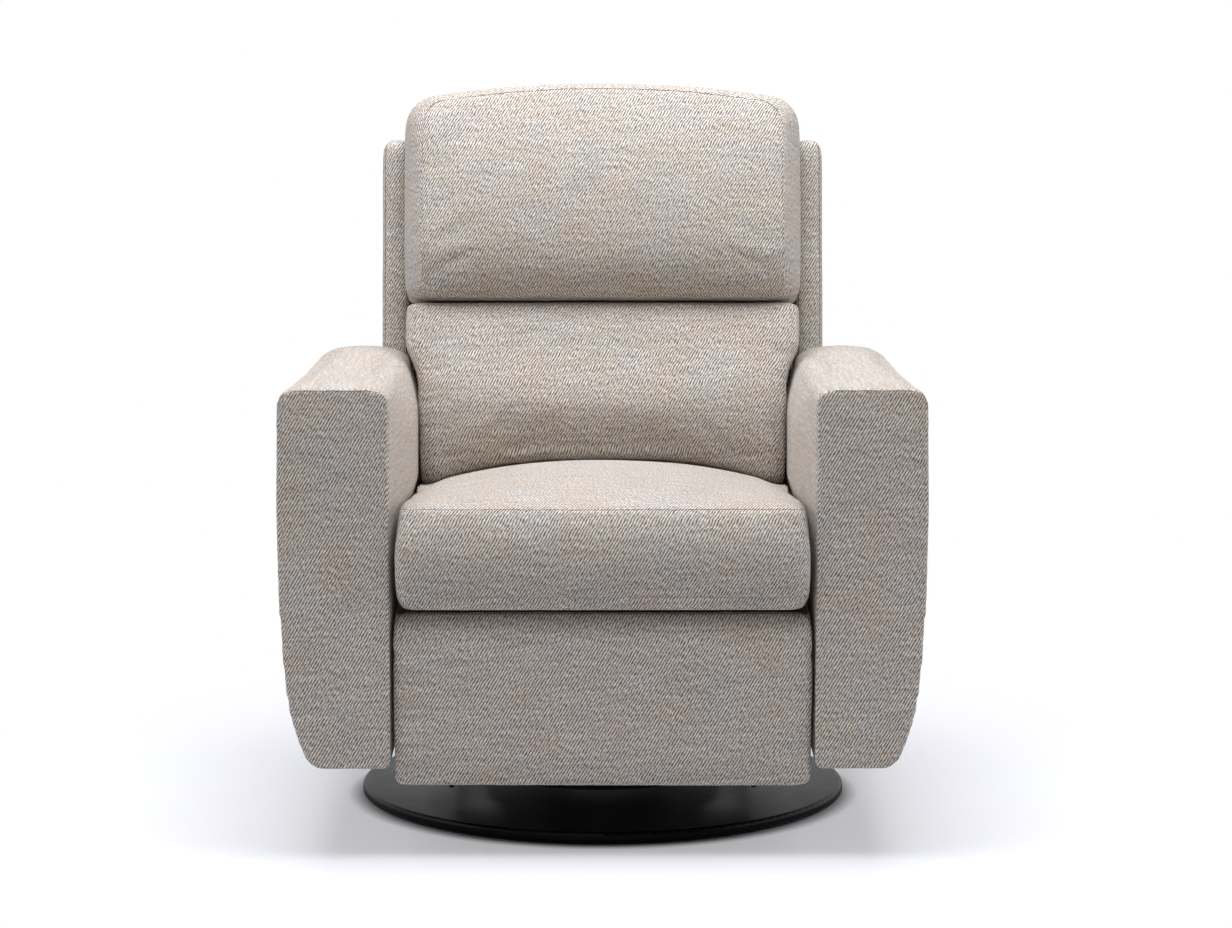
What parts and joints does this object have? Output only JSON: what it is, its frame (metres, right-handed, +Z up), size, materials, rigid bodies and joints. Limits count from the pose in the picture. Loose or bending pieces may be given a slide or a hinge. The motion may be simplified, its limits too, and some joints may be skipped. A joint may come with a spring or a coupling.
{
  "type": "swivel glider recliner",
  "caption": "Upholstered armchair that swivels and glides on a round steel floor plate, with a reclining back and a footrest that swings out from under the seat.",
  "frame": {"origin": "centre of the underside of the floor pad, on the swivel axis", "axes": "+Z up, the chair faces -Y, +X to the right as seen from the front"},
  "size_m": [0.8396, 0.8543, 0.9993],
  "materials": {
    "twill_upholstery": "woven beige and grey twill",
    "black_steel": "satin black powder coat",
    "grey_steel": "dark grey stamped steel",
    "zinc_steel": "zinc plated",
    "nylon": "natural nylon",
    "rubber_pad": "matt",
    "pine": "unfinished softwood and plywood",
    "felt_pad": "needled felt"
  },
  "bodies": {
    "floor_base": {"floor_pad": "rubber_pad", "floor_disc": "black_steel", "lower_bearing_race": "zinc_steel", "ball_cage": "nylon", "bearing_balls": "zinc_steel", "race_bolts": "zinc_steel"},
    "turntable": {"upper_bearing_race": "zinc_steel", "swivel_plate": "black_steel", "left_glider_frame": "black_steel", "right_glider_frame": "black_steel", "front_crossbar": "black_steel", "rear_crossbar": "black_steel", "upper_glide_pins": "zinc_steel", "frame_bolts": "zinc_steel"},
    "front_glide_links": {"front_left_glide_link": "grey_steel", "front_right_glide_link": "grey_steel", "front_link_bushes": "nylon"},
    "rear_glide_links": {"rear_left_glide_link": "grey_steel", "rear_right_glide_link": "grey_steel", "rear_link_bushes": "nylon"},
    "carriage": {"left_side_rail": "grey_steel", "right_side_rail": "grey_steel", "lower_glide_pins": "zinc_steel", "seat_front_rail": "pine", "seat_rear_rail": "pine", "seat_left_rail": "pine", "seat_right_rail": "pine", "seat_springs": "zinc_steel", "spring_clips": "zinc_steel", "seat_deck_pad": "felt_pad", "seat_cushion": "twill_upholstery", "left_arm_frame": "pine", "right_arm_frame": "pine", "left_arm_upholstery": "twill_upholstery", "right_arm_upholstery": "twill_upholstery", "left_arm_front": "twill_upholstery", "right_arm_front": "twill_upholstery", "arm_bolts": "zinc_steel", "rear_skirt": "twill_upholstery", "back_hinge_pins": "zinc_steel"},
    "back": {"left_back_post": "pine", "right_back_post": "pine", "back_top_rail": "pine", "back_bottom_rail": "pine", "back_springs": "zinc_steel", "upper_back_pillow": "twill_upholstery", "lumbar_cushion": "twill_upholstery", "left_back_wing": "twill_upholstery", "right_back_wing": "twill_upholstery", "outside_back_panel": "twill_upholstery", "back_hinge_brackets": "grey_steel"},
    "footrest_drive": {"footrest_torque_tube": "grey_steel", "footrest_drive_links": "grey_steel"},
    "footrest_guide": {"footrest_guide_links": "grey_steel"},
    "footrest_carrier": {"footrest_carrier_links": "grey_steel"},
    "footrest_stay": {"footrest_stay_links": "grey_steel"},
    "footrest": {"footrest_brackets": "grey_steel", "footrest_board": "pine", "footrest_cushion": "twill_upholstery"}
  },
  "joints": [
    {"name": "swivel", "type": "hinge", "parent": "floor_base", "child": "turntable", "pos_m": [0, 0, 0.027], "axis": [0, 0, 1], "continuous": true},
    {"name": "front_link_swing", "type": "hinge", "parent": "turntable", "child": "front_glide_links", "pos_m": [0, -0.15, 0.235], "axis": [1, 0, 0], "range_deg": [-17, 17]},
    {"name": "glide", "type": "hinge", "parent": "front_glide_links", "child": "carriage", "pos_m": [0, -0.15, 0.095], "axis": [1, 0, 0], "range_deg": [-17, 17]},
    {"name": "rear_link_swing", "type": "hinge", "parent": "turntable", "child": "rear_glide_links", "pos_m": [0, 0.15, 0.235], "axis": [1, 0, 0], "range_deg": [-17, 17]},
    {"name": "recline", "type": "hinge", "parent": "carriage", "child": "back", "pos_m": [0, 0.2, 0.33], "axis": [-1, 0, 0], "range_deg": [0, 40]},
    {"name": "footrest_swing", "type": "hinge", "parent": "carriage", "child": "footrest_drive", "pos_m": [0, -0.312, 0.268], "axis": [-1, 0, 0], "range_deg": [0, 90]},
    {"name": "footrest_guide_swing", "type": "hinge", "parent": "carriage", "child": "footrest_guide", "pos_m": [0, -0.35064, 0.27835], "axis": [-1, 0, 0], "range_deg": [0, 90]},
    {"name": "footrest_carrier_turn", "type": "hinge", "parent": "footrest_drive", "child": "footrest_carrier", "pos_m": [0, -0.2, 0.078], "axis": [-1, 0, 0], "range_deg": [-90, 0]},
    {"name": "footrest_stay_turn", "type": "hinge", "parent": "footrest_drive", "child": "footrest_stay", "pos_m": [0, -0.1961, 0.10976], "axis": [-1, 0, 0], "range_deg": [-90, 0]},
    {"name": "footrest_tilt", "type": "hinge", "parent": "footrest_carrier", "child": "footrest", "pos_m": [0, -0.358, 0.25], "axis": [-1, 0, 0], "range_deg": [0, 90]}
  ],
  "couplings": [
    {"joint": "front_link_swing", "follows": "glide", "ratio": -1},
    {"joint": "rear_link_swing", "follows": "glide", "ratio": -1},
    {"joint": "footrest_guide_swing", "follows": "footrest_swing", "ratio": 1},
    {"joint": "footrest_carrier_turn", "follows": "footrest_swing", "ratio": -1},
    {"joint": "footrest_stay_turn", "follows": "footrest_swing", "ratio": -1},
    {"joint": "footrest_tilt", "follows": "footrest_swing", "ratio": 1}
  ]
}
